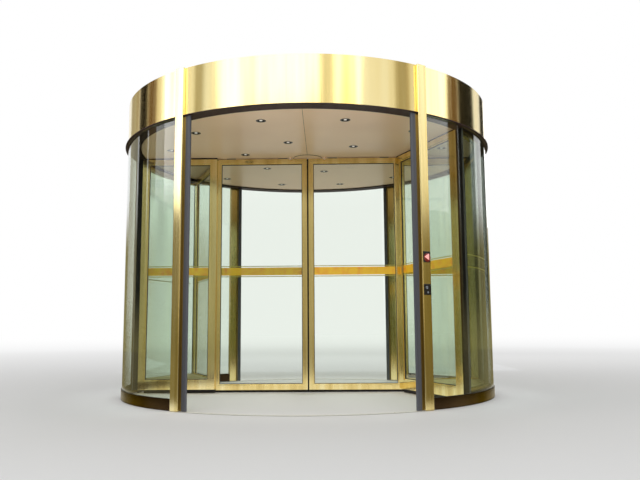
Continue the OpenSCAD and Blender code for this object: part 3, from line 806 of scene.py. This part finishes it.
tint(tree, shader, noise(tree, 200, 2.0), [
    (0.3, (0.15, 0.17, 0.20)), (0.7, (0.30, 0.33, 0.38)),
])
arrow = add_in_place(
    bpy.ops.mesh.primitive_circle_add,
    vertices=3, radius=arrow_r, fill_type="NGON",
    location=(plate_face + arrow_lift, light_y, upper_z), rotation=(pi / 2, 0, pi / 2),
)
bpy.ops.object.mode_set(mode="EDIT")
bpy.ops.mesh.select_all(action="SELECT")
bpy.ops.transform.rotate(
    value=-pi / 2, orient_axis="X", center_override=(plate_face, light_y, upper_z)
)
bpy.ops.object.mode_set(mode="OBJECT")
apply_modifier(arrow, "SOLIDIFY", thickness=arrow_t, offset=0)
lens = add_in_place(
    bpy.ops.mesh.primitive_cylinder_add,
    vertices=48, radius=lens_r, depth=lens_t,
    location=(plate_face - lens_sink, light_y, upper_z - lens_drop), rotation=(0, pi / 2, 0),
)
for number, part in enumerate((arrow, lens)):
    apply_modifier(part, "BEVEL", width=light_edge_r, segments=2, limit_method="ANGLE")
    finish_faces(part, (arrow_pink, red_lens), lambda face: number)
arrow_light = join([arrow, lens])
turn_about_axis(arrow_light, post_bearing - pi / 2)
mount(arrow_light, "arrow_light", "drum", arrow_pink, red_lens)

fittings = []
for radius, y, rise in ((0.0125, -0.012, 0.015), (0.008, -0.001, -0.024)):
    fitting = add_in_place(
        bpy.ops.mesh.primitive_cylinder_add,
        vertices=32, radius=radius, depth=fitting_t,
        location=(plate_face + fitting_lift, y, lower_z + rise), rotation=(0, pi / 2, 0),
    )
    select_faces(fitting, lambda face: face.normal.x > 0.9)
    bpy.ops.mesh.inset(thickness=radius * collar_share)
    bpy.ops.mesh.inset(thickness=radius * groove_share, depth=-groove_depth)
    bpy.ops.mesh.inset(thickness=radius * crown_share, depth=crown_rise)
    bpy.ops.object.mode_set(mode="OBJECT")
    apply_modifier(fitting, "BEVEL", width=fitting_edge_r, segments=2, limit_method="ANGLE")
    fittings.append(fitting)
key_switch = join(fittings)
turn_about_axis(key_switch, post_bearing - pi / 2)
mount(key_switch, "key_switch", "drum", key_metal)

# Wing frames: stiles and rails of the panels, bays and leaves, welded from hollow sections and
# clad in mirror-polished gold sheet. The bays' floors are of the same sheet in a satin finish.
frame_edge_r = 0.0016
frame_gold, tree, shader = new_material("mirror_gold_frames")
shader.inputs["Metallic"].default_value = 1.0
# Upright light and dark streaks in the colour are painted reflections.
tint(tree, shader, noise(tree, 11, 3.0, (1, 1, 0.03)), [
    (0.30, (0.72, 0.55, 0.22)),
    (0.50, (0.86, 0.70, 0.32)),
    (0.70, (0.95, 0.84, 0.48)),
])
polish(tree, shader, noise(tree, 90, 4.0, (1, 1, 0.02)), 0.08, 0.26)
bump(tree, shader, noise(tree, 4.0, 1.0, (1, 1, 0.2)), 0.002)
for name in (
    "left_side_panel", "right_side_panel", "left_display_panel", "right_display_panel",
    "left_display_rails", "right_display_rails", "left_leaf", "right_leaf",
):
    soften(name, frame_gold, frame_edge_r)
satin_gold, tree, shader = new_material("satin_gold_bay_floor")
shader.inputs["Metallic"].default_value = 1.0
polish(tree, shader, noise(tree, 60, 3.0), 0.34, 0.46)
tint(tree, shader, noise(tree, 3, 2.0), [
    (0.3, (0.42, 0.31, 0.12)), (0.7, (0.52, 0.40, 0.17)),
])
dress(satin_gold, "display_floors")


# Glazing gaskets: black rubber wedges pushed in round each flat pane, on both faces, between
# the glass and the frame's beads. The right wing's are made first, and the left ones copied.

# One ring round an opening, and the two rings of a pane, before and behind it
def gasket_ring(x0, x1, y, z0, z1):
    ring = standing_face(x0, x1, y, z0, z1)
    select_faces(ring, lambda face: True)
    bpy.ops.mesh.inset(thickness=gasket_width)
    bpy.ops.mesh.delete(type="FACE")
    bpy.ops.object.mode_set(mode="OBJECT")
    apply_modifier(ring, "SOLIDIFY", thickness=gasket_t, offset=0)
    apply_modifier(ring, "BEVEL", width=gasket_edge_r, segments=2, limit_method="ANGLE")
    return ring


def gasket_pair(opening, pane_y):
    x0, x1, z0, z1 = opening
    off_pane = pane_half + gasket_t / 2
    return [gasket_ring(x0, x1, pane_y + side * off_pane, z0, z1) for side in (-1, 1)]


pane_half, gasket_width, gasket_t, gasket_edge_r = 0.005, 0.005, 0.004, 0.001
leaf_stile, leaf_sill, leaf_head = 0.052, 0.059, 0.055
inner_stile, outer_stile, panel_sill, panel_head = 0.072, 0.074, 0.140, 0.061
side_start, side_end, side_y = 0.935, 1.709, 0.0475
slant_start, slant_turn, slant_end = Vector((0.934, -0.039, 0)), radians(-66.745), 0.97219
panel_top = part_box("right_side_panel")[1].z - panel_head
leaf_low, leaf_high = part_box("right_leaf")
leaf_opening = (
    leaf_low.x + leaf_stile, leaf_high.x - leaf_stile,
    leaf_low.z + leaf_sill, leaf_high.z - leaf_head,
)
side_opening = (side_start + inner_stile, side_end - outer_stile, panel_sill, panel_top)
slant_opening = (inner_stile, slant_end, panel_sill, panel_top)
slant_gaskets = gasket_pair(slant_opening, 0)
for ring in slant_gaskets:
    turn_about_axis(ring, slant_turn, slant_start)
leaf_gasket = join(gasket_pair(leaf_opening, 0))
wing_gasket = join(gasket_pair(side_opening, side_y) + slant_gaskets)
mount(twin(leaf_gasket), "left_leaf_gaskets", "left_door_leaf", gasket_rubber, slot="rubber")
mount(leaf_gasket, "right_leaf_gaskets", "right_door_leaf", gasket_rubber, slot="rubber")
mount(twin(wing_gasket), "left_wing_gaskets", "rotor", gasket_rubber, slot="rubber")
mount(wing_gasket, "right_wing_gaskets", "rotor", gasket_rubber, slot="rubber")

# Safety bands: golden-yellow film at chest height across the panes, with a thin line above and
# below, so that nobody walks into the glass. The film is plain, with a slightly mottled orange.
film_t, band_z, line_zs = 0.0006, (1.178, 1.257), ((1.161, 1.169), (1.266, 1.274))
bay_film_r, bay_start, bay_end = 1.7541, -35.9, 0.95
film, tree, shader = new_material("golden_yellow_film")
shader.inputs["Roughness"].default_value = 0.35
tint(tree, shader, noise(tree, 16, 3.0, (1, 1, 0.6)), [
    (0.42, (0.98, 0.58, 0.02)),
    (0.58, (0.95, 0.47, 0.02)),
    (0.72, (0.90, 0.28, 0.03)),
])
film_line, tree, shader = new_material("olive_gold_film_line")
shader.inputs["Roughness"].default_value = 0.35
tint(tree, shader, noise(tree, 30, 2.0), [
    (0.3, (0.40, 0.34, 0.05)), (0.7, (0.52, 0.45, 0.08)),
])


# The band and its two lines on the front face of a flat pane
def film_band(opening, pane_y):
    x0, x1 = opening[:2]
    film_y = pane_y - pane_half - film_t / 2
    strips = []
    for number, (low, high) in ((0, band_z), (1, line_zs[0]), (1, line_zs[1])):
        strip = standing_sheet(x0, x1, film_y, low, high, film_t)
        finish_faces(strip, (film, film_line), lambda face: number)
        apply_modifier(strip, "BEVEL", width=film_t / 4, segments=1, limit_method="ANGLE")
        strips.append(strip)
    return join(strips)


leaf_film = film_band(leaf_opening, 0)
slant_film = film_band(slant_opening, 0)
turn_about_axis(slant_film, slant_turn, slant_start)
wing_films = [film_band(side_opening, side_y), slant_film]
for low, high in line_zs:
    line = run_round(
        bay_film_r, bay_film_r + film_t, low, high, bay_start, bay_end, curve_steps
    )
    finish_faces(line, (film, film_line), lambda face: 1)
    wing_films.append(line)
wing_film = join(wing_films)
mount(twin(leaf_film), "left_leaf_film", "left_door_leaf", film, film_line)
mount(leaf_film, "right_leaf_film", "right_door_leaf", film, film_line)
mount(twin(wing_film), "left_wing_film", "rotor", film, film_line)
mount(wing_film, "right_wing_film", "rotor", film, film_line)

# Seals: black rubber strips along the wings' and leaves' edges, with brushes of pale bristle at
# the tips. They are pushed into grooves, and touch neither the walls nor the floor.
tip_r = 1.7602
seal_rubber, tree, shader = new_material("black_seal_rubber")
shader.inputs["Roughness"].default_value = 0.7
shader.inputs["Specular IOR Level"].default_value = 0.15
strip_tone = ramp(tree, noise(tree, 30, 3.0, (1, 1, 0.05)), [
    (0.3, (0.006, 0.005, 0.005)), (0.7, (0.020, 0.018, 0.018)),
])
bristle = noise(tree, 340, 2.0)
bristle_tone = ramp(tree, bristle, [
    (0.3, (0.05, 0.048, 0.044)), (0.7, (0.17, 0.165, 0.15)),
])
place = tree.nodes.new("ShaderNodeTexCoord").outputs["Object"]
in_plan = calculate(tree, "VectorMath", "MULTIPLY", place, (1, 1, 0))["Vector"]
off_axis = calculate(tree, "VectorMath", "LENGTH", in_plan)["Value"]
at_tip = calculate(tree, "Math", "GREATER_THAN", off_axis, tip_r)["Value"]
two_finishes(tree, shader, strip_tone, bristle_tone, at_tip)
bump(tree, shader, bristle, 0.0015, 0.6)
dress(seal_rubber, "left_wing_seals", "right_wing_seals", "left_leaf_seals", "right_leaf_seals")
